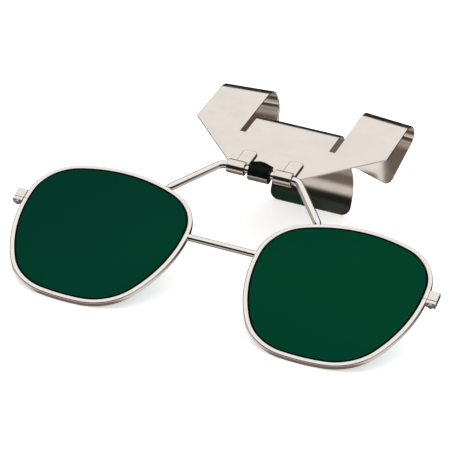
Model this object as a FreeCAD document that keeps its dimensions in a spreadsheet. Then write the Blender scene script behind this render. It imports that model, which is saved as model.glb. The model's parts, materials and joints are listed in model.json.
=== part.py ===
"""Flip-up clip-on welding goggles, lying on a table as they are put down.

The clip is one spring-steel stamping.  Its flat front plate carries two hooks
that roll over the top, a centre tongue that rolls back under them, and two
knuckles at the bottom that curl round the hinge wire.  The hinge wire, the
cross bar and the two lens rims are one soldered wire frame, which flips up
about the straight axle of the hinge wire.

Units are millimetres.  X runs left to right, Y runs from the lenses towards
the clip, and Z is up from the table.

Two working frames are used.  Both have their X axis along the row's X:
  lens frame  origin midway between the lens centres, Y up the face, Z forward
  clip frame  origin on the axle, Y up the front plate, Z out of its front
"""
import FreeCAD, Part
import math
import os

import Sketcher
from FreeCAD import Placement, Rotation, Vector

DOCUMENT = FreeCAD.newDocument("welding_goggles")
TINY = 1e-6
LEAD_IN = 1.0       # length of flat sheet a bent strip shares with the plate
SETTLE = 0.5        # short flat between the spring's joggle and its cradle
SPARE = 4.0         # extra leaf that the hook's outline trims away
BLANK_TOP = 5.0     # trim blank of a hook, in front of the plate
BLANK_SIZE = 60.0   # trim blank of a hook, on its other sides

# ---------------------------------------------------------------- dimensions
DIMENSIONS = [
    # name, value, meaning
    ("lens_centre_distance", 70.0, "between the two lens centres"),
    ("top_temple_x", 10.4, "corner circle of the lens outline, centre"),
    ("top_temple_y", 8.2, "corner circle of the lens outline, centre"),
    ("top_temple_radius", 13.1, "corner circle of the lens outline"),
    ("top_nasal_x", -10.0, "corner circle of the lens outline, centre"),
    ("top_nasal_y", 6.8, "corner circle of the lens outline, centre"),
    ("top_nasal_radius", 13.6, "corner circle of the lens outline"),
    ("low_nasal_x", -4.6, "corner circle of the lens outline, centre"),
    ("low_nasal_y", -9.1, "corner circle of the lens outline, centre"),
    ("low_nasal_radius", 15.1, "corner circle of the lens outline"),
    ("low_temple_x", 4.0, "corner circle of the lens outline, centre"),
    ("low_temple_y", -8.3, "corner circle of the lens outline, centre"),
    ("low_temple_radius", 15.7, "corner circle of the lens outline"),
    ("top_side_radius", 42.0, "long arc over the top of the lens"),
    ("nasal_side_radius", 43.0, "long arc down the nose side"),
    ("low_side_radius", 56.0, "long arc along the bottom"),
    ("temple_side_radius", 44.0, "long arc down the temple side"),
    ("rim_width", 1.4, "rim wire, across the face"),
    ("rim_depth", 1.9, "rim wire, front to back"),
    ("rim_round", 0.45, "rounding of the rim's outer edges"),
    ("lens_thickness", 1.6, "filter glass"),
    ("bevel_depth", 0.6, "how far the glass reaches into the rim's groove"),
    ("bevel_cut", 0.55, "chamfer that makes the glass's bevelled edge"),
    ("groove_play", 0.06, "room between bevel and groove"),
    ("closing_gap", 0.14, "slit where the rim closes on the glass"),
    ("block_bottom", 4.05, "closing block, lowest point above the lens centre"),
    ("block_split", 5.2, "height where the two closing blocks meet"),
    ("block_top", 8.55, "closing block, highest point"),
    ("block_inner", 23.6, "closing block's inner end from the lens centre"),
    ("block_outer", 27.8, "closing block's outer end from the lens centre"),
    ("block_round", 0.3, "rounding of the block's outer corners"),
    ("screw_x", 26.3, "closing screw from the lens centre"),
    ("screw_radius", 0.5, "closing screw's thread, as a plain shank"),
    ("screw_head_radius", 0.85, "closing screw's head"),
    ("screw_head_height", 0.45, "closing screw's head"),
    ("screw_slot_width", 0.3, "driver slot in the screw head"),
    ("screw_slot_depth", 0.25, "driver slot in the screw head"),
    ("screw_length", 3.6, "shank under the head"),
    ("cross_bar_radius", 1.0, "straight bar between the rims"),
    ("cross_bar_height", 6.5, "above the lens centres"),
    ("axle_height", 36.1, "hinge axle above the lens centres"),
    ("wire_radius", 1.15, "hinge wire"),
    ("wire_corner_x", 11.7, "where the axle line meets the arm line"),
    ("wire_bend_radius", 3.2, "bend between axle and arm"),
    ("arm_end_x", 22.6, "where an arm is soldered to its rim"),
    ("arm_end_y", 22.2, "where an arm is soldered to its rim"),
    ("grip_length", 6.2, "friction block on the axle"),
    ("grip_radius", 2.35, "friction block, round its axle"),
    ("grip_shoulder", 2.45, "friction block's ridge at its two ends, from the axle"),
    ("grip_crown", 3.15, "friction block's ridge at its middle, from the axle"),
    ("grip_flat", 0.5, "half of the short flat on the ridge's middle"),
    ("grip_ridge_width", 3.0, "friction block's ridge, front to back"),
    ("grip_ridge_angle", 56.0, "ridge above the plate's direction, degrees"),
    ("grip_play", 0.05, "running fit of the axle in the friction block"),
    ("sheet_thickness", 0.55, "clip stamping"),
    ("knuckle_inner_radius", 1.5, "inside of a curled knuckle"),
    ("knuckle_inside_x", 4.5, "inner end of a knuckle"),
    ("knuckle_outside_x", 9.75, "outer end of a knuckle"),
    ("notch_height", 2.9, "plate's lower edge above the axle, between knuckles"),
    ("tab_end", 11.9, "end of the knuckle's tab above the axle"),
    ("tab_inset", 0.5, "tab narrower than its knuckle, on each side"),
    ("tab_shoulder", 3.3, "where the tab narrows, above the axle"),
    ("tab_gap", 0.12, "slit between the tab and the front plate"),
    ("tab_bend_radius", 0.9, "reverse bend where the tab meets the plate"),
    ("tab_round", 1.4, "rounded corners of the tab's end"),
    ("plate_half_width", 29.7, "front plate, out to its corner"),
    ("plate_corner_height", 25.4, "front plate's corner above the axle"),
    ("slot_inside_x", 13.1, "slot beside the tongue, inner edge"),
    ("slot_outside_x", 14.75, "slot beside the tongue, outer edge"),
    ("slot_bottom", 22.3, "closed end of the slot above the axle"),
    ("hook_bend_height", 45.9, "hook's bend line at the slot, above the axle"),
    ("hook_skew", 6.8, "slope of the hook's bend line, degrees"),
    ("hook_first_radius", 10.1, "hook's wide first bend"),
    ("hook_first_turn", 66.5, "hook's wide first bend, degrees"),
    ("hook_second_radius", 3.5, "hook's tight second bend"),
    ("hook_second_turn", 68.0, "hook's tight second bend, degrees"),
    ("hook_leaf", 13.6, "straight leaf after the bends"),
    ("hook_edge_radius", 22.0, "curve of the hook's edge round the bends"),
    ("hook_end_slope", 7.5, "slope of the hook's end, degrees"),
    ("hook_tip_round", 2.2, "rounded corners of the hook's tip"),
    ("tongue_bend_height", 30.5, "tongue's bend line above the axle"),
    ("tongue_bend_radius", 7.0, "tongue's bend over the top"),
    ("tongue_turn", 58.0, "tongue's bend over the top, degrees"),
    ("tongue_leaf", 21.3, "tongue's straight leaf"),
    ("lip_bend_radius", 13.5, "bend between tongue and lip"),
    ("lip_turn", 55.0, "bend between tongue and lip, degrees"),
    ("lip_length", 3.0, "turned-down lip"),
    ("lip_round", 2.8, "rounded corners of the lip"),
    ("spring_thickness", 0.4, "friction spring's strip"),
    ("spring_half_width", 3.0, "friction spring's strip"),
    ("spring_top", 13.0, "upper end of the spring behind the plate"),
    ("spring_joggle", 20.0, "slope of the spring's joggle, degrees"),
    ("spring_joggle_radius", 1.5, "bends of the joggle"),
    ("lens_tilt", 26.87, "lens frame above the table, degrees"),
    ("clip_tilt", 10.96, "front plate above the table, degrees"),
    ("axle_row_y", 0.0, "axle's place in the row frame"),
    ("axle_row_z", 30.0, "axle's height over the table"),
]

SHEET = DOCUMENT.addObject("Spreadsheet::Sheet", "Sizes")
for row, (name, value, meaning) in enumerate(DIMENSIONS, start=1):
    SHEET.set(f"A{row}", name)
    SHEET.set(f"B{row}", str(value))
    SHEET.set(f"C{row}", meaning)
    SHEET.setAlias(f"B{row}", name)
DOCUMENT.recompute()


def size(name):
    """Read one driving dimension."""
    return float(SHEET.get(name))


def bind(thing, path, expression):
    """Bind a property or a sketch constraint to the sheet."""
    thing.setExpression(path, expression)


# ------------------------------------------------------------ sketch helpers
def new_body(name, label):
    """Start a body for one piece."""
    body = DOCUMENT.addObject("PartDesign::Body", name)
    body.Label = label
    return body


def new_sketch(body, name, role, placement=None):
    """Put a sketch on one of the body's own origin planes."""
    plane = next(p for p in body.Origin.OriginFeatures if p.Role == role)
    sketch = body.newObject("Sketcher::SketchObject", name)
    sketch.AttachmentSupport = [(plane, "")]
    sketch.MapMode = "FlatFace"
    if placement is not None:
        sketch.AttachmentOffset = placement
    return sketch


def constrain(sketch, kind, *arguments, expression=None):
    """Add one constraint, bound to the sheet where an expression is given."""
    index = sketch.addConstraint(Sketcher.Constraint(kind, *arguments))
    if expression is not None:
        bind(sketch, f"Constraints[{index}]", expression)
    return index


def arc(centre, radius, start, end):
    """Arc of a circle, counter-clockwise from start to end, in radians."""
    circle = Part.Circle(Vector(centre[0], centre[1], 0), Vector(0, 0, 1), radius)
    return Part.ArcOfCircle(circle, start, end)


def polygon(sketch, points):
    """Closed outline of straight edges, its corners held together."""
    count = len(points)
    first = sketch.GeometryCount
    for i, start in enumerate(points):
        end = points[(i + 1) % count]
        sketch.addGeometry(Part.LineSegment(Vector(*start, 0), Vector(*end, 0)))
    for i in range(count):
        constrain(sketch, "Coincident", first + i, 2, first + (i + 1) % count, 1)
    return first


def fix_point(sketch, edge, end, x_expression, y_expression):
    """Hold one end of an edge at a place given by two expressions."""
    point = sketch.getPoint(edge, end)
    constrain(sketch, "DistanceX", -1, 1, edge, end, point.x, expression=x_expression)
    constrain(sketch, "DistanceY", -1, 1, edge, end, point.y, expression=y_expression)


def rectangle(sketch, x_low, y_low, x_high, y_high):
    """Rectangle whose four sides are held by expressions over the sheet."""
    values = [evaluate(e) for e in (x_low, y_low, x_high, y_high)]
    corners = [(values[0], values[1]), (values[2], values[1]),
               (values[2], values[3]), (values[0], values[3])]
    first = polygon(sketch, corners)
    constrain(sketch, "Horizontal", first)
    constrain(sketch, "Horizontal", first + 2)
    constrain(sketch, "Vertical", first + 1)
    constrain(sketch, "Vertical", first + 3)
    fix_point(sketch, first, 1, x_low, y_low)
    fix_point(sketch, first + 2, 1, x_high, y_high)


def evaluate(expression):
    """Value of an expression over the sheet."""
    return float(SHEET.evalExpression(expression.replace("Sizes.", "")))


def circle(sketch, x, y, radius):
    """Circle held by three expressions over the sheet."""
    values = [evaluate(e) for e in (x, y, radius)]
    middle = Vector(values[0], values[1], 0)
    edge = sketch.addGeometry(Part.Circle(middle, Vector(0, 0, 1), values[2]))
    constrain(sketch, "Radius", edge, values[2], expression=radius)
    fix_point(sketch, edge, 3, x, y)


def pad(body, sketch, name, length, middle=False, reverse=False):
    """Pad a sketch by an expression, about its plane where middle is set."""
    feature = body.newObject("PartDesign::Pad", name)
    feature.Profile = sketch
    if middle:
        feature.SideType = "Symmetric"
    feature.Reversed = reverse
    bind(feature, "Length", length)
    return feature


def pocket(body, sketch, name):
    """Cut a sketch right through, both ways from its plane."""
    feature = body.newObject("PartDesign::Pocket", name)
    feature.Profile = sketch
    feature.Type = "ThroughAll"
    feature.SideType = "Symmetric"
    return feature


# --------------------------------------------------------------- lens outline
CORNERS = ["top_temple", "top_nasal", "low_nasal", "low_temple"]
SIDES = ["top_side", "nasal_side", "low_side", "temple_side"]


def side_centre(start, end, radius):
    """Centre of a long arc that touches two corner circles from outside."""
    (ax, ay, ar), (bx, by, br) = start, end
    span = math.hypot(bx - ax, by - ay)
    reach_a = radius - ar
    reach_b = radius - br
    along = (reach_a ** 2 - reach_b ** 2 + span ** 2) / (2 * span)
    across = math.sqrt(reach_a ** 2 - along ** 2)
    ux, uy = (bx - ax) / span, (by - ay) / span
    return ax + ux * along - uy * across, ay + uy * along + ux * across


def outline_arcs(margin):
    """The lens outline, grown by a margin: corner and side arcs in turn."""
    corners = [(size(c + "_x"), size(c + "_y"), size(c + "_radius")) for c in CORNERS]
    radii = [size(s + "_radius") for s in SIDES]
    centres = [side_centre(corners[i], corners[(i + 1) % 4], radii[i]) for i in range(4)]

    def heading(side, corner):
        return math.atan2(corner[1] - side[1], corner[0] - side[0])

    arcs = []
    for i in range(4):
        x, y, radius = corners[i]
        following = corners[(i + 1) % 4]
        arcs.append(((x, y), radius + margin,
                     heading(centres[i - 1], corners[i]), heading(centres[i], corners[i])))
        arcs.append((centres[i], radii[i] + margin,
                     heading(centres[i], corners[i]), heading(centres[i], following)))
    return arcs


def draw_outline(sketch, margin="0", shift=0.0):
    """Add the lens outline to a sketch, grown by an expression over the sheet.

    shift moves it along X by that many half lens distances, +1 or -1.
    """
    grow = evaluate(margin)
    move = shift * size("lens_centre_distance") / 2
    flip = -1 if shift < 0 else 1
    first = sketch.GeometryCount
    for (x, y), radius, start, end in outline_arcs(grow):
        if flip < 0:
            start, end = math.pi - end, math.pi - start
        while end <= start:
            end += 2 * math.pi
        while end - start > 2 * math.pi:
            end -= 2 * math.pi
        sketch.addGeometry(arc((flip * x + move, y), radius, start, end))
    for i in range(8):
        following = first + (i + 1) % 8
        if flip > 0:
            constrain(sketch, "Tangent", first + i, 2, following, 1)
        else:
            constrain(sketch, "Tangent", first + i, 1, following, 2)
    for i in range(4):
        corner, side = first + 2 * i, first + 2 * i + 1
        x_place = f"{flip} * Sizes.{CORNERS[i]}_x + {shift} * Sizes.lens_centre_distance / 2"
        fix_point(sketch, corner, 3, x_place, f"Sizes.{CORNERS[i]}_y")
        for edge, word in ((corner, CORNERS[i]), (side, SIDES[i])):
            radius = size(word + "_radius") + grow
            constrain(sketch, "Radius", edge, radius,
                      expression=f"Sizes.{word}_radius + {margin}")


# ------------------------------------------------------------ sheet-metal band
def band_points(start, heading, moves, offset):
    """Walk a bent strip's middle line and give its edge at an offset.

    moves holds ("line", length) and ("bend", radius, degrees); a positive turn
    is to the left.  Each item of the result is a Part edge.
    """
    x, y = start
    direction = math.radians(heading)
    edges = []
    for move in moves:
        left = (-math.sin(direction), math.cos(direction))
        here = Vector(x + left[0] * offset, y + left[1] * offset, 0)
        if move[0] == "line":
            x += math.cos(direction) * move[1]
            y += math.sin(direction) * move[1]
            there = Vector(x + left[0] * offset, y + left[1] * offset, 0)
            edges.append(Part.LineSegment(here, there))
            continue
        radius, turn = move[1], math.radians(move[2])
        sign = 1 if turn > 0 else -1
        centre = (x + left[0] * radius * sign, y + left[1] * radius * sign)
        start_angle = math.atan2(y - centre[1], x - centre[0])
        end_angle = start_angle + turn
        low, high = sorted((start_angle, end_angle))
        edges.append(arc(centre, radius - sign * offset, low, high))
        x = centre[0] + radius * math.cos(end_angle)
        y = centre[1] + radius * math.sin(end_angle)
        direction += turn
    return edges


def draw_band(sketch, start, heading, moves, thickness):
    """Closed outline of a bent strip of constant thickness."""
    half = thickness / 2
    left = band_points(start, heading, moves, half)
    right = band_points(start, heading, moves, -half)
    count = len(moves)

    def ends(edge, turn):
        """Geometry end numbers at the walk's start and finish of one edge."""
        return (2, 1) if turn < 0 else (1, 2)

    for edge in left + right:
        sketch.addGeometry(edge)
    turns = [m[2] if m[0] == "bend" else 1 for m in moves]
    for side in (0, count):
        for i in range(count - 1):
            finish = ends(left[i], turns[i])[1]
            begin = ends(left[i + 1], turns[i + 1])[0]
            constrain(sketch, "Coincident", side + i, finish, side + i + 1, begin)
    begin = ends(left[0], turns[0])[0]
    finish = ends(left[-1], turns[-1])[1]
    for end, edge in ((begin, 0), (finish, count - 1)):
        points = (sketch.getPoint(edge, end), sketch.getPoint(edge + count, end))
        cap = sketch.addGeometry(Part.LineSegment(*points))
        constrain(sketch, "Coincident", cap, 1, edge, end)
        constrain(sketch, "Coincident", cap, 2, edge + count, end)
    return count


# -------------------------------------------------------------- lens and rims
def make_rim():
    """Eye wire: a ring round the glass with a V groove and a closing slit."""
    body = new_body("RimRight", "rim_right")
    face = new_sketch(body, "RimFace", "XY_Plane")
    draw_outline(face, "Sizes.rim_width")
    draw_outline(face, "0")
    ring = pad(body, face, "RimRing", "Sizes.rim_depth", middle=True)
    DOCUMENT.recompute()
    rounded = body.newObject("PartDesign::Fillet", "RimRounding")
    limit = size("rim_depth") / 2
    width = size("rim_width")
    names = []
    for i, edge in enumerate(ring.Shape.Edges, start=1):
        middle = edge.valueAt((edge.FirstParameter + edge.LastParameter) / 2)
        direction = edge.tangentAt(edge.FirstParameter)
        flat = abs(abs(middle.z) - limit) < TINY and abs(direction.z) < TINY
        if flat and outline_distance(middle) > width / 2:
            names.append(f"Edge{i}")
    rounded.Base = (ring, names)
    bind(rounded, "Radius", "Sizes.rim_round")
    DOCUMENT.recompute()
    groove = new_sketch(body, "GrooveFace", "XY_Plane")
    draw_outline(groove, "Sizes.bevel_depth + Sizes.groove_play")
    cut = body.newObject("PartDesign::Pocket", "Groove")
    cut.Profile = groove
    cut.SideType = "Symmetric"
    bind(cut, "Length", "Sizes.lens_thickness - 2 * Sizes.bevel_cut + 2 * Sizes.groove_play")
    slit = new_sketch(body, "SlitFace", "XY_Plane")
    rectangle(slit, "Sizes.block_inner - 4", "Sizes.block_split - Sizes.closing_gap / 2",
              "Sizes.block_outer", "Sizes.block_split + Sizes.closing_gap / 2")
    pocket(body, slit, "Slit")
    return body


def outline_distance(point):
    """Signed distance of a point outside the lens outline."""
    best = None
    for (x, y), radius, start, end in outline_arcs(0):
        angle = math.atan2(point.y - y, point.x - x)
        span = (end - start) % (2 * math.pi)
        if (angle - start) % (2 * math.pi) > span + 0.01:
            continue
        gap = math.hypot(point.x - x, point.y - y) - radius
        if best is None or abs(gap) < abs(best):
            best = gap
    return best if best is not None else 0.0


def make_lens():
    """Flat filter glass with a bevelled edge that sits in the rim's groove."""
    body = new_body("LensRight", "lens_right")
    face = new_sketch(body, "LensFace", "XY_Plane")
    draw_outline(face, "Sizes.bevel_depth")
    land = pad(body, face, "LensLand", "Sizes.lens_thickness - 2 * Sizes.bevel_cut", middle=True)
    DOCUMENT.recompute()
    inner = new_sketch(body, "LensInner", "XY_Plane")
    draw_outline(inner, "0 - Sizes.groove_play")
    pad(body, inner, "LensGlass", "Sizes.lens_thickness", middle=True)
    return body


def make_block(name, label, low, high):
    """One half of the block that closes the rim, soldered to the rim's end."""
    body = new_body(name, label)
    face = new_sketch(body, name + "Face", "XY_Plane")
    rectangle(face, "Sizes.block_inner", low, "Sizes.block_outer", high)
    solid = pad(body, face, name + "Pad", "Sizes.rim_depth", middle=True)
    DOCUMENT.recompute()
    rounding = body.newObject("PartDesign::Fillet", name + "Rounding")
    outer = size("block_outer")
    names = []
    for i, edge in enumerate(solid.Shape.Edges, start=1):
        middle = edge.valueAt((edge.FirstParameter + edge.LastParameter) / 2)
        upright = abs(edge.tangentAt(edge.FirstParameter).y) > 0.9
        if abs(middle.x - outer) < TINY and upright:
            names.append(f"Edge{i}")
    rounding.Base = (solid, names)
    bind(rounding, "Radius", "Sizes.block_round")
    DOCUMENT.recompute()
    trim = new_sketch(body, name + "Trim", "XY_Plane")
    draw_outline(trim, "Sizes.rim_width")
    pocket(body, trim, name + "Saddle")
    DOCUMENT.recompute()
    bore = new_sketch(body, name + "Bore", "XZ_Plane")
    circle(bore, "Sizes.screw_x", "0", "Sizes.screw_radius")
    pocket(body, bore, name + "Hole")
    return body


def make_screw():
    """Slotted closing screw that draws the two blocks together from below."""
    body = new_body("ScrewRight", "closing_screw_right")
    seat = Placement(Vector(0, 0, -size("block_bottom")), Rotation())
    shank = new_sketch(body, "ShankFace", "XZ_Plane", seat)
    bind(shank, "AttachmentOffset.Base.z", "0 - Sizes.block_bottom")
    circle(shank, "Sizes.screw_x", "0", "Sizes.screw_radius")
    pad(body, shank, "Shank", "Sizes.screw_length", reverse=True)
    DOCUMENT.recompute()
    head = new_sketch(body, "HeadFace", "XZ_Plane", seat)
    bind(head, "AttachmentOffset.Base.z", "0 - Sizes.block_bottom")
    circle(head, "Sizes.screw_x", "0", "Sizes.screw_head_radius")
    top = pad(body, head, "Head", "Sizes.screw_head_height")
    DOCUMENT.recompute()
    slot_seat = Placement(Vector(0, 0, size("screw_head_height") - size("block_bottom")), Rotation())
    slot = new_sketch(body, "SlotFace", "XZ_Plane", slot_seat)
    bind(slot, "AttachmentOffset.Base.z", "Sizes.screw_head_height - Sizes.block_bottom")
    rectangle(slot, "Sizes.screw_x - 1", "0 - Sizes.screw_slot_width / 2",
              "Sizes.screw_x + 1", "Sizes.screw_slot_width / 2")
    cut = body.newObject("PartDesign::Pocket", "DriverSlot")
    cut.Profile = slot
    bind(cut, "Length", "Sizes.screw_slot_depth")
    DOCUMENT.recompute()
    if cut.Shape.Volume >= top.Shape.Volume:
        raise RuntimeError("the driver slot cuts nothing")
    return body


# ------------------------------------------------------------- wire frame
def make_cross_bar():
    """Straight bar, each end shaped to sit against its rim."""
    body = new_body("CrossBar", "cross_bar")
    section = new_sketch(body, "BarSection", "YZ_Plane")
    circle(section, "Sizes.cross_bar_height", "0", "Sizes.cross_bar_radius")
    pad(body, section, "Bar", "Sizes.lens_centre_distance / 2", middle=True)
    trim_at_rims(body, "Bar")
    return body


def trim_at_rims(body, name):
    """Cut a wire where it meets the two rims."""
    DOCUMENT.recompute()
    for side, word in ((1, "Right"), (-1, "Left")):
        saddle = new_sketch(body, name + "Saddle" + word, "XY_Plane")
        draw_outline(saddle, "Sizes.rim_width", shift=side)
        pocket(body, saddle, name + "Cut" + word)
        DOCUMENT.recompute()


def make_hinge_wire():
    """One bent wire: the straight axle and the two arms down to the rims."""
    body = new_body("HingeWire", "hinge_wire")
    corner = Vector(size("wire_corner_x"), size("axle_height"), 0)
    foot = Vector(size("arm_end_x"), size("arm_end_y"), 0)
    slope = math.atan2(corner.y - foot.y, foot.x - corner.x)
    radius = size("wire_bend_radius")
    tangent = radius * math.tan(slope / 2)
    path = new_sketch(body, "WirePath", "XY_Plane")
    centre = Vector(corner.x - tangent, corner.y - radius, 0)
    bend_end = corner + (foot - corner).normalize() * tangent
    path.addGeometry(Part.LineSegment(Vector(0, corner.y, 0), Vector(centre.x, corner.y, 0)))
    path.addGeometry(arc(centre, radius, math.pi / 2 - slope, math.pi / 2))
    path.addGeometry(Part.LineSegment(bend_end, foot))
    constrain(path, "Tangent", 0, 2, 1, 2)
    constrain(path, "Tangent", 1, 1, 2, 1)
    constrain(path, "Radius", 1, radius, expression="Sizes.wire_bend_radius")
    fix_point(path, 0, 1, "0", "Sizes.axle_height")
    constrain(path, "Horizontal", 0)
    fix_point(path, 2, 2, "Sizes.arm_end_x", "Sizes.arm_end_y")
    section = new_sketch(body, "WireSection", "YZ_Plane")
    circle(section, "Sizes.axle_height", "0", "Sizes.wire_radius")
    DOCUMENT.recompute()
    sweep = body.newObject("PartDesign::AdditivePipe", "HalfWire")
    sweep.Profile = section
    sweep.Spine = (path, [])
    DOCUMENT.recompute()
    mirror = body.newObject("PartDesign::Mirrored", "WholeWire")
    mirror.Originals = [sweep]
    plane = next(p for p in body.Origin.OriginFeatures if p.Role == "YZ_Plane")
    mirror.MirrorPlane = (plane, [""])
    body.Tip = mirror
    trim_at_rims(body, "Wire")
    return body


def make_friction_block():
    """Black block that grips the middle of the axle; the spring cradles it.

    It is round below, with a ridge on its upper front that peaks in the middle.
    """
    body = new_body("FrictionBlock", "friction_block")
    section = new_sketch(body, "BlockSection", "YZ_Plane")
    circle(section, "0", "0", "Sizes.grip_radius")
    pad(body, section, "BlockRound", "Sizes.grip_length", middle=True)
    DOCUMENT.recompute()
    # The ridge's outline lies in the plane of the axle and the ridge's direction.
    angle = size("grip_ridge_angle")
    ridge_plane = Placement(Vector(0, 0, 0), Rotation(Vector(1, 0, 0), angle))
    ridge = new_sketch(body, "RidgeFace", "XY_Plane", ridge_plane)
    bind(ridge, "AttachmentOffset.Rotation.Angle", "Sizes.grip_ridge_angle")
    half, flat = size("grip_length") / 2, size("grip_flat")
    shoulder, crown = size("grip_shoulder"), size("grip_crown")
    points = [(-half, 0), (half, 0), (half, shoulder), (flat, crown),
              (-flat, crown), (-half, shoulder)]
    first = polygon(ridge, points)
    ends = "Sizes.grip_length / 2"
    places = [(f"0 - {ends}", "0"), (ends, "0"), (ends, "Sizes.grip_shoulder"),
              ("Sizes.grip_flat", "Sizes.grip_crown"),
              ("0 - Sizes.grip_flat", "Sizes.grip_crown"),
              (f"0 - {ends}", "Sizes.grip_shoulder")]
    for i, (x_place, y_place) in enumerate(places):
        fix_point(ridge, first + i, 1, x_place, y_place)
    pad(body, ridge, "BlockRidge", "Sizes.grip_ridge_width", middle=True)
    DOCUMENT.recompute()
    bore = new_sketch(body, "BlockBore", "YZ_Plane")
    circle(bore, "0", "0", "Sizes.wire_radius + Sizes.grip_play")
    pocket(body, bore, "AxleBore")
    return body


# --------------------------------------------------------------- clip stamping
def plate_middle():
    """Height of the front plate's middle plane, tangent to the knuckles."""
    return -(size("knuckle_inner_radius") + size("sheet_thickness") / 2)


MIDDLE = "(Sizes.knuckle_inner_radius + Sizes.sheet_thickness / 2)"


def make_front_plate():
    """Flat front of the stamping, with the slots beside the tongue."""
    body = new_body("FrontPlate", "front_plate")
    level = Placement(Vector(0, 0, plate_middle()), Rotation())
    face = new_sketch(body, "PlateFace", "XY_Plane", level)
    bind(face, "AttachmentOffset.Base.z", "0 - " + MIDDLE)
    drop = math.tan(math.radians(size("hook_skew"))) * (size("plate_half_width") - size("slot_outside_x"))
    right = [
        ("knuckle_inside_x", "notch_height", 0.0),
        ("knuckle_inside_x", "", 0.0),
        ("knuckle_outside_x", "", 0.0),
        ("knuckle_outside_x", "notch_height", 0.0),
        ("plate_half_width", "plate_corner_height", 0.0),
        ("plate_half_width", "hook_bend_height", drop),
        ("slot_outside_x", "hook_bend_height", 0.0),
        ("slot_outside_x", "slot_bottom", 0.0),
        ("slot_inside_x", "slot_bottom", 0.0),
        ("slot_inside_x", "tongue_bend_height", 0.0),
    ]
    corners = [(x, y, lower, 1) for x, y, lower in right]
    corners += [(x, y, lower, -1) for x, y, lower in reversed(right)]
    points = [(side * size(x), (size(y) if y else 0.0) - lower) for x, y, lower, side in corners]
    first = polygon(face, points)
    skew = "tan(Sizes.hook_skew) * (Sizes.plate_half_width - Sizes.slot_outside_x)"
    for i, (x, y, lower, side) in enumerate(corners):
        up = f"Sizes.{y}" if y else "0"
        if lower:
            up += " - " + skew
        fix_point(face, first + i, 1, f"{side} * Sizes.{x}", up)
    pad(body, face, "PlatePad", "Sizes.sheet_thickness", middle=True)
    return body


def hook_moves():
    """Bends and straight runs of a hook, from just under its bend line."""
    return [("line", LEAD_IN),
            ("bend", size("hook_first_radius"), -size("hook_first_turn")),
            ("bend", size("hook_second_radius"), -size("hook_second_turn")),
            ("line", size("hook_leaf") + SPARE)]


def make_hook():
    """Right-hand hook: a strip bent about a sloping line, then trimmed."""
    body = new_body("HookRight", "hook_right")
    skew = size("hook_skew")
    inner = Vector(size("slot_outside_x"), size("hook_bend_height"), 0)
    # The band's own plane holds the up-the-plate direction square to the bend
    # line and the plate's normal; the band is padded along the bend line.
    turn = Rotation(Vector(0, 0, 1), -skew) * Rotation(Vector(1, 1, 1), 120)
    profile = body.newObject("Sketcher::SketchObject", "HookProfile")
    plane = next(p for p in body.Origin.OriginFeatures if p.Role == "XY_Plane")
    profile.AttachmentSupport = [(plane, "")]
    profile.MapMode = "FlatFace"
    profile.AttachmentOffset = Placement(inner, turn)
    draw_band(profile, (-LEAD_IN, plate_middle()), 0.0, hook_moves(), size("sheet_thickness"))
    width = "4 * (Sizes.plate_half_width - Sizes.slot_outside_x)"
    pad(body, profile, "HookBand", width, middle=True)
    DOCUMENT.recompute()

    # Seen along the plate, the hook's edges run straight, curve inwards round
    # the bends and then lean inwards along the leaf.
    total = math.radians(size("hook_first_turn") + size("hook_second_turn"))
    slope = math.radians(skew)
    lean = math.atan(math.tan(slope) * (1 - math.cos(total)) / math.sin(total))
    first_drop = size("hook_first_radius") * (1 - math.cos(math.radians(size("hook_first_turn"))))
    second_drop = size("hook_second_radius") * (
        math.cos(math.radians(size("hook_first_turn"))) - math.cos(total))
    bend_end = plate_middle() - first_drop - second_drop
    curve = size("hook_edge_radius")
    bend_start = bend_end + curve * math.sin(lean)
    shift = curve * (1 - math.cos(lean))
    leaf_drop = size("hook_leaf") * math.sin(total)
    outside, inside = size("plate_half_width"), size("slot_outside_x")
    tip_outer = (outside - shift - leaf_drop * math.tan(lean), bend_end - leaf_drop)
    end_slope = math.tan(math.radians(size("hook_end_slope")))
    # The end line rises inwards; the inner edge meets it a little earlier.
    inner_foot = (inside - shift, bend_end)
    run = tip_outer[0] - inner_foot[0]
    fall = inner_foot[1] - (tip_outer[1] + end_slope * run)
    fall /= 1 + end_slope * math.tan(lean)
    tip_inner = (inner_foot[0] - fall * math.tan(lean), inner_foot[1] - fall)
    seam = BLANK_TOP - 1

    def edge_arc(x):
        """Arc between the straight edge and the leaning leaf edge."""
        return arc((x - curve, bend_start), curve, -lean, 0)

    trim = new_sketch(body, "HookTrim", "XZ_Plane")
    blank = BLANK_SIZE
    polygon(trim, [(-blank, BLANK_TOP), (blank, BLANK_TOP), (blank, -blank), (-blank, -blank)])
    corner_outer = rounded_corner((outside - shift, bend_end), tip_outer, tip_inner, "hook_tip_round")
    corner_inner = rounded_corner(tip_outer, tip_inner, inner_foot, "hook_tip_round")
    outline = [
        Part.LineSegment(Vector(inside, seam, 0), Vector(outside, seam, 0)),
        Part.LineSegment(Vector(outside, seam, 0), Vector(outside, bend_start, 0)),
        edge_arc(outside),
        Part.LineSegment(Vector(outside - shift, bend_end, 0), corner_outer[0]),
        corner_outer[1],
        Part.LineSegment(corner_outer[2], corner_inner[0]),
        corner_inner[1],
        Part.LineSegment(corner_inner[2], Vector(*inner_foot, 0)),
        edge_arc(inside),
        Part.LineSegment(Vector(inside, bend_start, 0), Vector(inside, seam, 0)),
    ]
    for edge in outline:
        trim.addGeometry(edge)
    pocket(body, trim, "HookShape")
    DOCUMENT.recompute()
    return body


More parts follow.
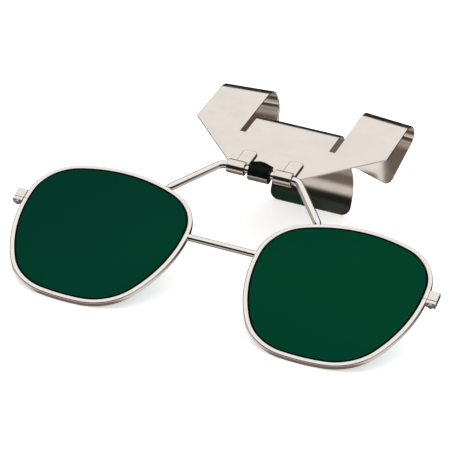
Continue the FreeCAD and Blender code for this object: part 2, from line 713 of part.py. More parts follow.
def rounded_corner(before, corner, after, radius_name):
    """Where a rounded corner starts, its arc, and where it ends."""
    radius = size(radius_name)
    tip = Vector(*corner, 0)
    back = (Vector(*before, 0) - tip).normalize()
    onward = (Vector(*after, 0) - tip).normalize()
    half = back.getAngle(onward) / 2
    centre = tip + (back + onward).normalize() * (radius / math.sin(half))
    start = tip + back * (radius / math.tan(half))
    end = tip + onward * (radius / math.tan(half))
    low, high = [math.atan2(p.y - centre.y, p.x - centre.x) for p in (end, start)]
    if high < low:
        high += 2 * math.pi
    return start, arc((centre.x, centre.y), radius, low, high), end


def round_tips(body, name, radius, is_tip, count):
    """Round the short edges through the sheet at a strip's free end."""
    base = body.Tip
    short = size("sheet_thickness") * 2
    names = []
    for i, edge in enumerate(base.Shape.Edges, start=1):
        if edge.Length > short or not is_tip(edge.CenterOfMass):
            continue
        names.append(f"Edge{i}")
    if len(names) != count:
        raise RuntimeError(f"{name}: {len(names)} corner edges, not {count}")
    rounding = body.newObject("PartDesign::Fillet", name)
    rounding.Base = (base, names)
    bind(rounding, "Radius", f"Sizes.{radius}")
    DOCUMENT.recompute()


def side_sketch(body, name):
    """Sketch seen from the side: its X runs up the plate, its Y forward."""
    return new_sketch(body, name, "YZ_Plane")


def make_tongue():
    """Centre tongue: over the top, back under the hooks, then a lip."""
    body = new_body("Tongue", "tongue")
    profile = side_sketch(body, "TongueProfile")
    start = (size("tongue_bend_height") - LEAD_IN, plate_middle())
    moves = [("line", LEAD_IN),
             ("bend", size("tongue_bend_radius"), -size("tongue_turn")),
             ("line", size("tongue_leaf")),
             ("bend", size("lip_bend_radius"), -size("lip_turn")),
             ("line", size("lip_length"))]
    draw_band(profile, start, 0.0, moves, size("sheet_thickness"))
    pad(body, profile, "TonguePad", "2 * Sizes.slot_inside_x", middle=True)
    DOCUMENT.recompute()
    lowest = body.Shape.BoundBox.ZMin
    round_tips(body, "LipCorners", "lip_round", lambda p: p.z < lowest + 1.0, 2)
    return body


def make_knuckle():
    """Right-hand knuckle: curls under and round the axle, ends in a tab."""
    body = new_body("KnuckleRight", "knuckle_right")
    inside, outside = size("knuckle_inside_x"), size("knuckle_outside_x")
    middle = (inside + outside) / 2
    level = Placement(Vector(0, 0, middle), Rotation())
    profile = new_sketch(body, "KnuckleProfile", "YZ_Plane", level)
    bind(profile, "AttachmentOffset.Base.z",
         "(Sizes.knuckle_inside_x + Sizes.knuckle_outside_x) / 2")
    barrel = -plate_middle()
    small = size("tab_bend_radius")
    thickness = size("sheet_thickness")
    tab_level = plate_middle() + thickness + size("tab_gap")
    moves = [("line", LEAD_IN),
             ("bend", barrel, 270.0),
             ("line", -(tab_level + small)),
             ("bend", small, -90.0),
             ("line", size("tab_end") - barrel - small)]
    # The strip leaves the plate's lower edge, curls under the axle to the
    # front and comes down on the plate again.
    draw_band(profile, (LEAD_IN, plate_middle()), 180.0, [flip(m) for m in moves], thickness)
    pad(body, profile, "KnucklePad", "Sizes.knuckle_outside_x - Sizes.knuckle_inside_x", middle=True)
    DOCUMENT.recompute()
    sides = new_sketch(body, "TabSides", "XY_Plane")
    past_end = "Sizes.tab_end + Sizes.tab_round"
    rectangle(sides, "Sizes.knuckle_inside_x - Sizes.tab_inset", "Sizes.tab_shoulder",
              "Sizes.knuckle_inside_x + Sizes.tab_inset", past_end)
    rectangle(sides, "Sizes.knuckle_outside_x - Sizes.tab_inset", "Sizes.tab_shoulder",
              "Sizes.knuckle_outside_x + Sizes.tab_inset", past_end)
    pocket(body, sides, "TabTrim")
    DOCUMENT.recompute()
    far = size("tab_end")
    round_tips(body, "TabCorners", "tab_round", lambda p: abs(p.y - far) < TINY, 2)
    return body


def flip(move):
    """The same move with its bend turned the other way."""
    if move[0] == "bend":
        return ("bend", move[1], -move[2])
    return move


def mirrored(source, name, label):
    """Left-hand twin of a right-hand piece."""
    twin = DOCUMENT.addObject("Part::Mirroring", name)
    twin.Source = source
    twin.Normal = Vector(1, 0, 0)
    twin.Base = Vector(0, 0, 0)
    twin.Label = label
    return twin


def make_spring():
    """Strip spring behind the plate that cradles the friction block."""
    body = new_body("FrictionSpring", "friction_spring")
    profile = side_sketch(body, "SpringProfile")
    thickness = size("spring_thickness")
    back = plate_middle() - size("sheet_thickness") / 2
    top_level = back - thickness / 2
    cradle = size("grip_radius") + thickness / 2
    slope = size("spring_joggle")
    bend = size("spring_joggle_radius")
    step = cradle + top_level
    slant = (step - 2 * bend * (1 - math.cos(math.radians(slope)))) / math.sin(math.radians(slope))
    used = 2 * bend * math.sin(math.radians(slope)) + slant * math.cos(math.radians(slope))
    moves = [("line", size("spring_top") - used - SETTLE),
             ("bend", bend, slope),
             ("line", slant),
             ("bend", bend, -slope),
             ("line", SETTLE),
             ("bend", cradle, -90.0)]
    draw_band(profile, (size("spring_top"), top_level), 180.0, moves, thickness)
    pad(body, profile, "SpringPad", "2 * Sizes.spring_half_width", middle=True)
    return body


# ---------------------------------------------------------------- assembly
def stand(piece, frame, x_place="0"):
    """Give a piece its place in the row frame, bound to the sheet."""
    piece.Placement = Placement(Vector(0, 0, 0), Rotation(Vector(1, 0, 0), 1.0))
    tilt = "Sizes.lens_tilt" if frame == "lens" else "Sizes.clip_tilt"
    reach = "Sizes.axle_height" if frame == "lens" else "0"
    bind(piece, "Placement.Rotation.Angle", tilt)
    bind(piece, "Placement.Base.x", x_place)
    bind(piece, "Placement.Base.y", f"Sizes.axle_row_y - {reach} * cos({tilt})")
    bind(piece, "Placement.Base.z", f"Sizes.axle_row_z - {reach} * sin({tilt})")


def build_lens_frame():
    """All the pieces of the flip-up lens frame."""
    right = [
        make_rim(),
        make_lens(),
        make_block("UpperBlockRight", "upper_block_right",
                   "Sizes.block_split + Sizes.closing_gap / 2", "Sizes.block_top"),
        make_block("LowerBlockRight", "lower_block_right",
                   "Sizes.block_bottom", "Sizes.block_split - Sizes.closing_gap / 2"),
        make_screw(),
    ]
    pieces = []
    for piece in right:
        stand(piece, "lens", "Sizes.lens_centre_distance / 2")
        label = piece.Label.replace("right", "left")
        pieces += [piece, mirrored(piece, piece.Name.replace("Right", "Left"), label)]
    for piece in (make_cross_bar(), make_hinge_wire()):
        stand(piece, "lens")
        pieces.append(piece)
    return pieces


def build_clip():
    """The one-piece clip stamping, the friction block and its spring."""
    hook, knuckle = make_hook(), make_knuckle()
    parts = [make_front_plate(), make_tongue(), hook, knuckle]
    parts.append(mirrored(hook, "HookLeft", "hook_left"))
    parts.append(mirrored(knuckle, "KnuckleLeft", "knuckle_left"))
    stamping = DOCUMENT.addObject("Part::MultiFuse", "ClipPlate")
    stamping.Shapes = parts
    stamping.Label = "clip_plate"
    pieces = [stamping, make_friction_block(), make_spring()]
    for piece in pieces:
        stand(piece, "clip")
    return pieces


def rest_on_table(pieces):
    """Move the axle so that the whole part stands centred on the table."""
    DOCUMENT.recompute()
    box = FreeCAD.BoundBox()
    for piece in pieces:
        box.add(piece.Shape.optimalBoundingBox(False))
    SHEET.set("axle_row_y", str(round(size("axle_row_y") - (box.YMin + box.YMax) / 2, 4)))
    SHEET.set("axle_row_z", str(round(size("axle_row_z") - box.ZMin, 4)))
    DOCUMENT.recompute()


def check(pieces):
    """Stop if any object failed or any piece isn't one closed solid."""
    for item in DOCUMENT.Objects:
        if "Invalid" in item.State or "Error" in item.State:
            raise RuntimeError(f"{item.Name} failed: {item.State}")
    for piece in pieces:
        shape = piece.Shape
        if shape.isNull() or not shape.isValid():
            raise RuntimeError(f"{piece.Label} is not a valid shape")
        if len(shape.Solids) != 1:
            raise RuntimeError(f"{piece.Label} has {len(shape.Solids)} solids")


def main():
    """Build, check and write every piece."""
    pieces = build_lens_frame() + build_clip()
    rest_on_table(pieces)
    check(pieces)
    os.makedirs("parts", exist_ok=True)
    for piece in pieces:
        piece.Shape.exportStep(f"parts/{piece.Label}.step")
        box = piece.Shape.BoundBox
        print(f"{piece.Label:22s} {piece.Shape.Volume:9.2f} mm3  "
              f"x {box.XMin:7.2f} {box.XMax:7.2f}  y {box.YMin:7.2f} {box.YMax:7.2f}  "
              f"z {box.ZMin:7.2f} {box.ZMax:7.2f}")
    print("axle at", SHEET.get("axle_row_y"), SHEET.get("axle_row_z"))


main()
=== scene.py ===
"""Flip-up clip-on goggles: the looks of every piece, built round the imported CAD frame.

Lengths are metres in the row frame: X across the two lenses, Y from the lenses
towards the clip, Z up from the table.  Two working frames share the row's X:
the lens frame (origin midway between the lens centres, Y up the face, Z out of
its front) and the clip frame (origin on the hinge axle, Y up the front plate).
"""

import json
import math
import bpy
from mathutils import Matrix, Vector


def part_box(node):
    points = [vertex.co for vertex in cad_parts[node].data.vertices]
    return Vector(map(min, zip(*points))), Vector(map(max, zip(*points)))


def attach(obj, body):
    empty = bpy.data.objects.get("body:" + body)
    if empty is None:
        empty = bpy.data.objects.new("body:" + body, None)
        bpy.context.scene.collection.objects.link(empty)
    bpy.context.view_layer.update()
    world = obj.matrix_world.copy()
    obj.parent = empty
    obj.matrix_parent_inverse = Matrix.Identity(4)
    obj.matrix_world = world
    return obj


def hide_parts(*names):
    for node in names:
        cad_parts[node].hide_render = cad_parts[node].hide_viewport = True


bl_info = {
    "name": "Flip-up clip-on goggles",
    "version": (1, 0, 0),
    "blender": (4, 5, 0),
    "location": "View3D > Sidebar > Goggles",
    "description": "Rims, filter lenses, hinge wire and spring clip of flip-up goggles",
    "category": "Object",
}

import bmesh
import bpy
from mathutils import Matrix, Vector

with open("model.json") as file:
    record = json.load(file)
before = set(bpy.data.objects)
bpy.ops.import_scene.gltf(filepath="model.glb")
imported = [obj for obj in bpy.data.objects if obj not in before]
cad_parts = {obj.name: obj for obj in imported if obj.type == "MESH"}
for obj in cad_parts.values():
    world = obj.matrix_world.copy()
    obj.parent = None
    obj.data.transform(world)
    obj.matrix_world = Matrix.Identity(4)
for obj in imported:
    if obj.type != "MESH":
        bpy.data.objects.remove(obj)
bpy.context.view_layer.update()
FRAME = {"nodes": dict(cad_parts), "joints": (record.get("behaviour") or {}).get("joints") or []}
AXLE = Vector(FRAME["joints"][0]["pos_m"])
MM = 0.001
SIDES = (("right", 1), ("left", -1))

# How far each working frame is turned about X.
LENS_TILT = math.radians(26.87)
CLIP_TILT = math.radians(10.96)

# The knuckles' tabs on the front plate, from the axle: middle, half size and
# corner radius along X and up the plate, and the level of the tab's sheet.
TAB_MIDDLE = (7.125 * MM, 7.40 * MM)
TAB_HALF = (2.125 * MM, 4.50 * MM)
TAB_ROUND = 1.4 * MM
TAB_LEVEL = -1.20 * MM

# The painted shadow line round a tab (painted shade where the tab lies on
# the plate), from the tab's outline: full up to here, gone by there, and how
# far it reaches above and below the tab's level.
SHADOW_LINE_FULL = 0.10 * MM
SHADOW_LINE_END = 0.26 * MM
SHADOW_LINE_REACH = 0.42 * MM
SHADOW_LINE_SHADE = 0.10  # the plate's colour times this, where the painted shadow is darkest

# The lens outline, seen from the front of the right lens, in millimetres:
# four corner circles (centre x, y, radius) and the long arcs that join them.
CORNERS = [(10.4, 8.2, 13.1), (-10.0, 6.8, 13.6), (-4.6, -9.1, 15.1), (4.0, -8.3, 15.7)]
SIDE_RADII = [42.0, 43.0, 56.0, 44.0]

# Steps along the outline, for an arc of STEP_RADIUS millimetres.  A wider arc
# takes smaller ones.
RIM_STEP = math.radians(0.8)
LENS_STEP = math.radians(1.0)
STEP_RADIUS = 14.0
FEWEST_POINTS = 3

# Where a wire narrows into its solder: how far past its soldered end, and the
# share of the wire's radius there.
ARM_END = ((-0.9 * MM, 1.0), (-0.2 * MM, 0.86), (0.35 * MM, 0.60))
BAR_END = ((-0.3 * MM, 1.0), (0.15 * MM, 0.92), (0.6 * MM, 0.7))

# Broken edges of the pieces that keep their CAD shape.
SHEET_BREAK = 0.22 * MM
MOULD_BREAK = 0.14 * MM
BLOCK_BREAK = 0.09 * MM
STRIP_BREAK = 0.07 * MM
SCREW_BREAK = 0.05 * MM

# CAD points nearer than this are one, and CAD facets that meet at less than
# this are one face.
SAME_POINT = 2e-6
SAME_FACE = math.radians(0.4)

# A CAD edge sharper than this is broken, and an edge of a glass or a wire that
# is sharper than these stays sharp.
CAD_EDGE = math.radians(38)
GLASS_EDGE = math.radians(30)
WIRE_EDGE = math.radians(50)
FLAT_WEIGHT = 60  # how far large faces outweigh small ones in shading; 50 is even

# How many steps or sides round shapes have.
ROUNDING_STEPS = 5
BEND_STEPS = 24
WIRE_SIDES = 48
FLOOR_SIDES = 180

# Colours of the friction block and of a lens's ground edge; the ground edge is
# painted near black, as the shade beside the rim.
MOULD_BLACK = (0.003, 0.003, 0.003)
MOULD_GREY = (0.008, 0.008, 0.008)
GROUND_SHADE_BLACK = (0.0004, 0.0012, 0.0008)
GROUND_SHADE_GREEN = (0.001, 0.003, 0.002)

# The glass's colour times these towards the left and towards the right, and how
# fast one goes over into the other along X, per metre.
GLASS_LEFT_TONE = (0.80, 0.80, 0.90)
GLASS_RIGHT_TONE = (1.08, 1.08, 0.98)
GLASS_FADE = 4.0

# Sockets of the node that mixes colours and of the one that mixes shaders.
MIX_FACTOR, MIX_FIRST, MIX_SECOND, MIX_RESULT = 0, 6, 7, 2
SHADER_FIRST, SHADER_SECOND = 1, 2

# Where the side screens begin and where they are full: the X of a direction,
# which is 1 straight sideways.
SCREEN_START = 0.80
SCREEN_FULL = 0.96

# The camera: focal length and sensor in millimetres, and its place, the way it
# looks and its upward way in the lens frame.
CAMERA_LENS = 193.2
CAMERA_SENSOR = 36.0
CAMERA_PLACE = (0.1931, -0.4011, 0.4926)
CAMERA_AHEAD = (-0.290, 0.617, -0.732)
CAMERA_UP = (-0.232, 0.697, 0.679)


# ------------------------------------------------------------------- settings
def length(name, default, description):
    """A size in metres that a user may change."""
    return bpy.props.FloatProperty(name=name, default=default, description=description,
                                   min=0.0, precision=5, unit="LENGTH", subtype="DISTANCE")


def share(name, default, description):
    """A number from 0 to 1."""
    return bpy.props.FloatProperty(name=name, default=default, description=description,
                                   min=0.0, max=1.0, subtype="FACTOR")


def tint(name, default, description):
    """A colour that a user may change."""
    return bpy.props.FloatVectorProperty(name=name, default=default, description=description,
                                         size=3, min=0.0, max=1.0, subtype="COLOR")


class GoggleRimSettings(bpy.types.PropertyGroup):
    """Sizes of the two lens rims."""
    centre_distance: length("Lens distance", 0.070, "Between the two lens centres")
    width: length("Width", 0.0014, "Rim wire, across the face")
    depth: length("Depth", 0.0019, "Rim wire, front to back")
    edge_round: length("Edge rounding", 0.00045, "Rounding of the rim wire's edges")
    slit_height: length("Slit height", 0.0052, "Closing slit above the lens centre")
    slit_gap: length("Slit", 0.00014, "Width of the closing slit")


class GoggleLensSettings(bpy.types.PropertyGroup):
    """Sizes and colour of the filter lenses."""
    thickness: length("Thickness", 0.0016, "Filter glass")
    chamfer: length("Chamfer", 0.00022, "Ground chamfer round the glass")
    # The ground edge is painted near black, as the shade beside the rim.
    edge: length("Ground edge", 0.00042, "Width of the dark ground edge beside the rim")
    glass: tint("Glass", (0.0, 0.0525, 0.0260), "Colour of the filter glass")
    gloss: share("Gloss", 0.008, "Strength of the reflection on the glass")


class GoggleWireSettings(bpy.types.PropertyGroup):
    """Sizes of the hinge wire and the cross bar."""
    axle_height: length("Axle height", 0.0361, "Hinge axle above the lens centres")
    wire_radius: length("Wire radius", 0.00115, "Hinge wire")
    corner_x: length("Corner", 0.0117, "Where the axle line meets the arm line")
    bend_radius: length("Bend radius", 0.0032, "Bend between axle and arm")
    arm_end_x: length("Arm end X", 0.0226, "Where an arm is soldered to its rim")
    arm_end_y: length("Arm end Y", 0.0222, "Where an arm is soldered to its rim")
    bar_radius: length("Bar radius", 0.0010, "Straight bar between the rims")
    bar_height: length("Bar height", 0.0065, "Straight bar above the lens centres")


class GoggleMetalSettings(bpy.types.PropertyGroup):
    """Finish of the plated metal."""
    sheet: tint("Sheet", (0.640, 0.585, 0.535), "Nickel plate on the clip's sheet")
    wire: tint("Wire", (0.690, 0.645, 0.610), "Nickel plate on the rims and wires")
    spring: tint("Spring", (0.52, 0.50, 0.48), "Plain spring strip")
    sheet_roughness: share("Sheet roughness", 0.15, "Roughness of the plated sheet")
    wire_roughness: share("Wire roughness", 0.11, "Roughness of the plated wire")


class GoggleStageSettings(bpy.types.PropertyGroup):
    """Floor and studio light."""
    floor: tint("Floor", (0.92, 0.92, 0.92), "Plain pale floor")
    glow: share("Floor lift", 0.60, "Evens out the floor's brightness")
    light: bpy.props.FloatProperty(name="Light", default=1.26, min=0.0,
                                   description="Strength of the white tent round the part")
    overhead: bpy.props.FloatProperty(name="Overhead", default=1.30, min=0.1,
                                      description="Strength of the soft light straight overhead")
    screens: share("Side screens", 0.60, "Light from the soft screens on either side")
    table: tint("Table", (0.92, 0.89, 0.87), "Light thrown back by the table round the part")
    under: tint("Table under the part", (0.23, 0.185, 0.155), "Light from the table just below it")
    radius: length("Floor radius", 0.36, "Round pale floor under the part")


# ------------------------------------------------------------- places and sizes
def lens_matrix(wires):
    """From the lens frame to the row frame."""
    turn = Matrix.Rotation(LENS_TILT, 4, "X")
    return Matrix.Translation(AXLE) @ turn @ Matrix.Translation((0, -wires.axle_height, 0))


def side_arc_centre(start, end, radius):
    """Centre of a long arc that touches two corner circles from outside."""
    (ax, ay, ar), (bx, by, br) = start, end
    span = math.hypot(bx - ax, by - ay)
    reach_a, reach_b = radius - ar, radius - br
    along = (reach_a ** 2 - reach_b ** 2 + span ** 2) / (2 * span)
    across = math.sqrt(reach_a ** 2 - along ** 2)
    ux, uy = (bx - ax) / span, (by - ay) / span
    return ax + ux * along - uy * across, ay + uy * along + ux * across


def outline(margin, step):
    """Closed lens outline grown by a margin, as points in metres, counter-clockwise."""
    following = CORNERS[1:] + CORNERS[:1]
    centres = [side_arc_centre(*side) for side in zip(CORNERS, following, SIDE_RADII)]
    points = []
    for i, (x, y, radius) in enumerate(CORNERS):
        after = following[i]
        before, beyond = centres[i - 1], centres[i]
        arcs = [((x, y), radius, math.atan2(y - before[1], x - before[0]),
                 math.atan2(y - beyond[1], x - beyond[0])),
                (beyond, SIDE_RADII[i], math.atan2(y - beyond[1], x - beyond[0]),
                 math.atan2(after[1] - beyond[1], after[0] - beyond[0]))]
        for (cx, cy), r, low, high in arcs:
            turn = (high - low) % (2 * math.pi)
            reach = r * MM + margin
            count = max(FEWEST_POINTS, math.ceil(turn / step * math.sqrt(r / STEP_RADIUS)))
            for k in range(count):
                angle = low + turn * k / count
                points.append((cx * MM + reach * math.cos(angle),
                               cy * MM + reach * math.sin(angle)))
    return points


# ------------------------------------------------------------------ mesh tools
def new_object(name, mesh):
    """Link a fresh object at the origin."""
    piece = bpy.data.objects.new(name, mesh)
    bpy.context.scene.collection.objects.link(piece)
    return piece


def evaluated(rough, name):
    """The mesh that an object's modifiers make; the object itself is removed."""
    bpy.context.view_layer.update()
    graph = bpy.context.evaluated_depsgraph_get()
    mesh = bpy.data.meshes.new_from_object(rough.evaluated_get(graph))
    bpy.data.objects.remove(rough)
    mesh.name = name
    return mesh


def settle(piece, body, nodes, finish=None):
    """Give a piece its finish, its body and the CAD nodes it stands for."""
    if finish is not None:
        piece.data.materials.clear()
        piece.data.materials.append(finish)
    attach(piece, body)
    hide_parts(*nodes)


def refined(node, name, edge, segments=2):
    """A CAD node's own shape, its facets joined and its sharp edges broken."""
    shape = bmesh.new()
    shape.from_mesh(FRAME["nodes"][node].data)
    bmesh.ops.remove_doubles(shape, verts=shape.verts, dist=SAME_POINT)
    bmesh.ops.dissolve_limit(shape, angle_limit=SAME_FACE, verts=shape.verts,
                             edges=shape.edges, use_dissolve_boundaries=False)
    mesh = bpy.data.meshes.new(name)
    shape.to_mesh(mesh)
    shape.free()
    for attribute in ("custom_normal", "sharp_edge", "sharp_face"):
        if attribute in mesh.attributes:
            mesh.attributes.remove(mesh.attributes[attribute])
    mesh.shade_smooth()
    rough = new_object(name + "_rough", mesh)
    bevel = rough.modifiers.new("Broken edges", "BEVEL")
    bevel.width = edge
    bevel.segments = segments
    bevel.limit_method = "ANGLE"
    bevel.angle_limit = CAD_EDGE
    bevel.use_clamp_overlap = True
    bevel.harden_normals = False
    weights = rough.modifiers.new("Flat faces stay flat", "WEIGHTED_NORMAL")
    weights.mode = "FACE_AREA"
    weights.keep_sharp = False
    weights.weight = FLAT_WEIGHT
    return new_object(name, evaluated(rough, name))


def loop_mesh(name, loops, matrix, flip):
    """Closed solid between loops of equal count, its two ends capped."""
    count = len(loops[0])
    corners = [tuple(matrix @ Vector(p)) for loop in loops for p in loop]
    faces = []
    for k in range(len(loops) - 1):
        for i in range(count):
            j = (i + 1) % count
            faces.append((k * count + i, k * count + j, (k + 1) * count + j, (k + 1) * count + i))
    faces.append(tuple(range(count))[::-1])
    faces.append(tuple((len(loops) - 1) * count + i for i in range(count)))
    if flip:
        faces = [face[::-1] for face in faces]
    mesh = bpy.data.meshes.new(name)
    mesh.from_pydata(corners, [], faces)
    mesh.shade_smooth()
    mesh.set_sharp_from_angle(angle=GLASS_EDGE)
    return new_object(name, mesh)


# ---------------------------------------------------------------- sweep trees
def tree_input(tree, name, kind):
    """Add a named input to a node tree and return its identifier."""
    return tree.interface.new_socket(name=name, in_out="INPUT", socket_type=kind).identifier


def sweep_tree(name, flat):
    """Geometry Nodes tree that sweeps a section along a path.

    flat is a rounded rectangle that keeps its depth square to the face, for a
    rim; otherwise the section is round, for a wire.
    """
    tree = bpy.data.node_groups.new(name, "GeometryNodeTree")
    tree_input(tree, "Path", "NodeSocketGeometry")
    names = {}
    if flat:
        names["width"] = tree_input(tree, "Width", "NodeSocketFloat")
        names["depth"] = tree_input(tree, "Depth", "NodeSocketFloat")
        names["round"] = tree_input(tree, "Edge rounding", "NodeSocketFloat")
    else:
        names["radius"] = tree_input(tree, "Wire radius", "NodeSocketFloat")
        names["sides"] = tree_input(tree, "Sides", "NodeSocketInt")
    names["finish"] = tree_input(tree, "Finish", "NodeSocketMaterial")
    tree.interface.new_socket(name="Piece", in_out="OUTPUT", socket_type="NodeSocketGeometry")
    nodes, links = tree.nodes, tree.links
    source = nodes.new("NodeGroupInput")
    result = nodes.new("NodeGroupOutput")
    sweep = nodes.new("GeometryNodeCurveToMesh")
    sweep.inputs["Fill Caps"].default_value = True
    if flat:
        normals = nodes.new("GeometryNodeSetCurveNormal")
        normals.mode = "Z_UP"
        links.new(source.outputs["Path"], normals.inputs["Curve"])
        links.new(normals.outputs["Curve"], sweep.inputs["Curve"])
        section = nodes.new("GeometryNodeCurvePrimitiveQuadrilateral")
        links.new(source.outputs["Width"], section.inputs["Width"])
        links.new(source.outputs["Depth"], section.inputs["Height"])
        fillet = nodes.new("GeometryNodeFilletCurve")
        fillet.mode = "POLY"
        fillet.inputs["Count"].default_value = ROUNDING_STEPS
        links.new(section.outputs["Curve"], fillet.inputs["Curve"])
        links.new(source.outputs["Edge rounding"], fillet.inputs["Radius"])
        links.new(fillet.outputs["Curve"], sweep.inputs["Profile Curve"])
    else:
        links.new(source.outputs["Path"], sweep.inputs["Curve"])
        section = nodes.new("GeometryNodeCurvePrimitiveCircle")
        links.new(source.outputs["Sides"], section.inputs["Resolution"])
        links.new(source.outputs["Wire radius"], section.inputs["Radius"])
        links.new(section.outputs["Curve"], sweep.inputs["Profile Curve"])
        taper = nodes.new("GeometryNodeInputNamedAttribute")
        taper.data_type = "FLOAT"
        taper.inputs["Name"].default_value = "radius"
        links.new(taper.outputs["Attribute"], sweep.inputs["Scale"])
    real = nodes.new("GeometryNodeRealizeInstances")
    paint = nodes.new("GeometryNodeSetMaterial")
    links.new(sweep.outputs["Mesh"], real.inputs["Geometry"])
    links.new(real.outputs["Geometry"], paint.inputs["Geometry"])
    links.new(source.outputs["Finish"], paint.inputs["Material"])
    links.new(paint.outputs["Geometry"], result.inputs["Piece"])
    return tree, names


def swept(name, points, radii, tree, values, matrix, flip=False):
    """Sweep a tree's section along a path, then put the result in its place."""
    curve = bpy.data.curves.new(name + "_path", "CURVE")
    curve.dimensions = "3D"
    line = curve.splines.new("POLY")
    line.points.add(len(points) - 1)
    for spot, place, radius in zip(line.points, points, radii):
        spot.co = (*place, 1.0)
        spot.radius = radius
    path = new_object(name + "_path", curve)
    modifier = path.modifiers.new("Sweep", "NODES")
    modifier.node_group = tree
    for identifier, value in values.items():
        modifier[identifier] = value
    mesh = evaluated(path, name)
    mesh.transform(matrix)
    if flip:
        mesh.flip_normals()
    mesh.shade_smooth()
    mesh.set_sharp_from_angle(angle=WIRE_EDGE)
    return new_object(name, mesh)


# ------------------------------------------------------------------- finishes
def stretched(nodes, links, scale=(1.0, 1.0, 1.0)):
    """Object coordinates, scaled along each axis."""
    place = nodes.new("ShaderNodeTexCoord")
    mapping = nodes.new("ShaderNodeMapping")
    mapping.inputs["Scale"].default_value = scale
    links.new(place.outputs["Object"], mapping.inputs["Vector"])
    return mapping.outputs["Vector"]


def noise(nodes, links, vector, scale, detail=3.0, roughness=0.55):
    """Noise on given coordinates."""
    made = nodes.new("ShaderNodeTexNoise")
    made.inputs["Scale"].default_value = scale
    made.inputs["Detail"].default_value = detail
    made.inputs["Roughness"].default_value = roughness
    links.new(vector, made.inputs["Vector"])
    return made.outputs["Fac"]


def ranged(nodes, links, value, low, high, start=0.3, end=0.7):
    """A value between start and end, spread from low to high."""
    made = nodes.new("ShaderNodeMapRange")
    made.inputs["From Min"].default_value = start
    made.inputs["From Max"].default_value = end
    made.inputs["To Min"].default_value = low
    made.inputs["To Max"].default_value = high
    links.new(value, made.inputs["Value"])
    return made.outputs["Result"]


def maths(nodes, links, kind, first, second=None, third=None):
    """One arithmetic node: each input is a socket or a number."""
    made = nodes.new("ShaderNodeMath")
    made.operation = kind
    for socket, value in zip(made.inputs, (first, second, third)):
        if isinstance(value, (int, float)):
            socket.default_value = value
        elif value is not None:
            links.new(value, socket)
    return made.outputs[0]


def blended(nodes, links, factor, first, second):
    """Mix two colours by a factor; the first may be a socket."""
    made = nodes.new("ShaderNodeMix")
    made.data_type = "RGBA"
    if isinstance(first, bpy.types.NodeSocket):
        links.new(first, made.inputs[MIX_FIRST])
    else:
        made.inputs[MIX_FIRST].default_value = (*first, 1.0)
    made.inputs[MIX_SECOND].default_value = (*second, 1.0)
    links.new(factor, made.inputs[MIX_FACTOR])
    return made.outputs[MIX_RESULT]


def bumped(nodes, links, height, strength, distance, shader):
    """Bump a shader by a height."""
    made = nodes.new("ShaderNodeBump")
    made.inputs["Strength"].default_value = strength
    made.inputs["Distance"].default_value = distance
    links.new(height, made.inputs["Height"])
    links.new(made.outputs["Normal"], shader.inputs["Normal"])


def start_finish(name):
    """A fresh material with one shader, or the one made before."""
    made = bpy.data.materials.get(name)
    if made is not None:
        return made, None, None, None
    made = bpy.data.materials.new(name)
    made.use_nodes = True
    nodes, links = made.node_tree.nodes, made.node_tree.links
    shader = nodes["Principled BSDF"]
    return made, nodes, links, shader


def darker(colour, by):
    """A colour times a number."""
    return tuple(channel * by for channel in colour)


def plated(name, colour, roughness, grain, clouds=0.05, shadow_line=None):
    """Bright nickel: faint clouds, rolling or drawing lines and handling haze.

    shadow_line, where a finish has one, makes the mask of its painted shade: nearly black places
    that stand in for shadow.
    """
    made, nodes, links, shader = start_finish(name)
    if nodes is None:
        return made
    shader.inputs["Metallic"].default_value = 1.0
    cloud = noise(nodes, links, stretched(nodes, links), scale=95.0)
    plate = blended(nodes, links, ranged(nodes, links, cloud, 0.0, 1.0),
                    colour, darker(colour, 1 - clouds))
    # Painted shade: the plate turns nearly black along the shadow line round the tabs.
    if shadow_line is not None:
        plate = blended(nodes, links, shadow_line(nodes, links), plate, darker(colour, SHADOW_LINE_SHADE))
    links.new(plate, shader.inputs["Base Color"])
    lines = noise(nodes, links, stretched(nodes, links, grain),
                  scale=1.0, detail=5.0, roughness=0.7)
    haze = noise(nodes, links, stretched(nodes, links), scale=260.0, detail=4.0)
    worn = maths(nodes, links, "MULTIPLY", lines, haze)
    links.new(ranged(nodes, links, worn, low=roughness * 0.75, high=roughness * 1.5,
                     start=0.12, end=0.42), shader.inputs["Roughness"])
    bumped(nodes, links, lines, strength=0.10, distance=0.02 * MM, shader=shader)
    return made


